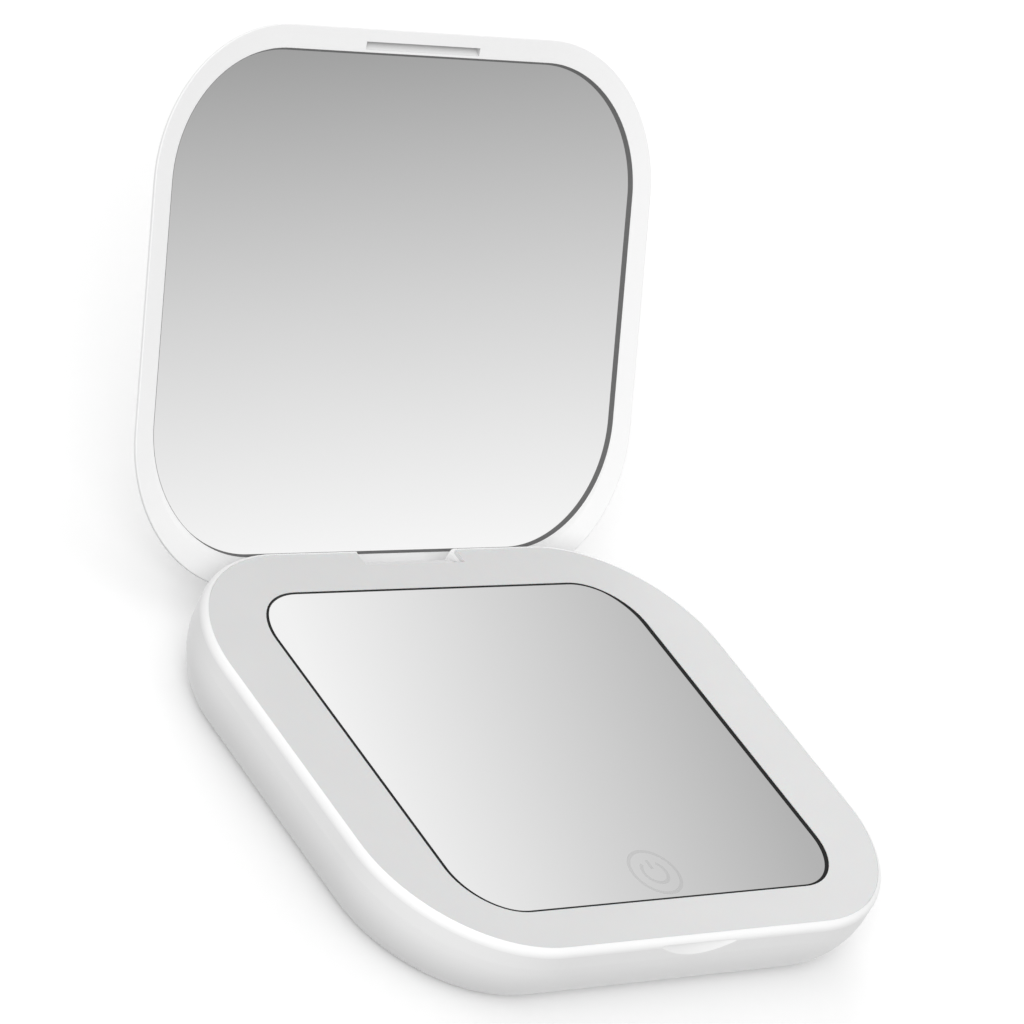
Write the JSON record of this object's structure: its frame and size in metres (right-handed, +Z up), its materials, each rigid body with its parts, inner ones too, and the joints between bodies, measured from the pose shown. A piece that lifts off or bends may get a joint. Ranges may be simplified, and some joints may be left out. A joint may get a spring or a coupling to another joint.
{
  "type": "lighted makeup mirror",
  "caption": "Folding compact mirror with rounded corners: a lid with a mirror opens on a pinned hinge over a base whose mirror sits in a frosted light frame.",
  "frame": {"origin": "middle of the base's flat underside", "axes": "+Z up, +Y towards the hinge, -Y towards the user; the lid stands open over the rear edge"},
  "size_m": [0.09, 0.1182, 0.0677],
  "materials": {
    "shell_white": "gloss moulded",
    "bezel_white": "gloss moulded",
    "diffuser_frosted": "frosted",
    "base_mirror_glass": "silvered",
    "lid_mirror_glass": "silvered",
    "foam_black": "matte",
    "tray_black": "matte moulded",
    "board_white": "white mask",
    "led_yellow": "phosphor",
    "board_green": "green mask",
    "chip_black": "moulded",
    "steel_bright": "plated",
    "steel_dark": "black zinc",
    "cell_foil": "laminated foil",
    "lead_red": "satin",
    "lead_black": "satin",
    "lead_white": "satin",
    "foam_grey": "conductive foam",
    "magnet_nickel": "nickel plated",
    "lid_white": "gloss moulded"
  },
  "bodies": {
    "base": {"base_shell": "shell_white", "rim_bezel": "bezel_white", "light_diffuser": "diffuser_frosted", "base_mirror": "base_mirror_glass", "base_mirror_tape": "foam_black", "mirror_tray": "tray_black", "led_board": "board_white", "led_chips": "led_yellow", "control_board": "board_green", "board_chips": "chip_black", "usb_socket": "steel_bright", "battery": "cell_foil", "battery_tape": "foam_black", "battery_lead_red": "lead_red", "battery_lead_black": "lead_black", "led_leads": "lead_white", "touch_contact": "foam_grey", "base_magnet": "magnet_nickel", "hinge_pin": "steel_bright", "tray_screws": "steel_dark", "board_screws": "steel_dark"},
    "lid": {"lid_shell": "lid_white", "lid_mirror": "lid_mirror_glass", "lid_mirror_tape": "foam_black", "lid_magnet": "magnet_nickel"}
  },
  "joints": [
    {"name": "lid_hinge", "type": "hinge", "parent": "base", "child": "lid", "pos_m": [0, 0.036, 0.0078], "axis": [-1, 0, 0], "range_deg": [-123, 7]}
  ]
}
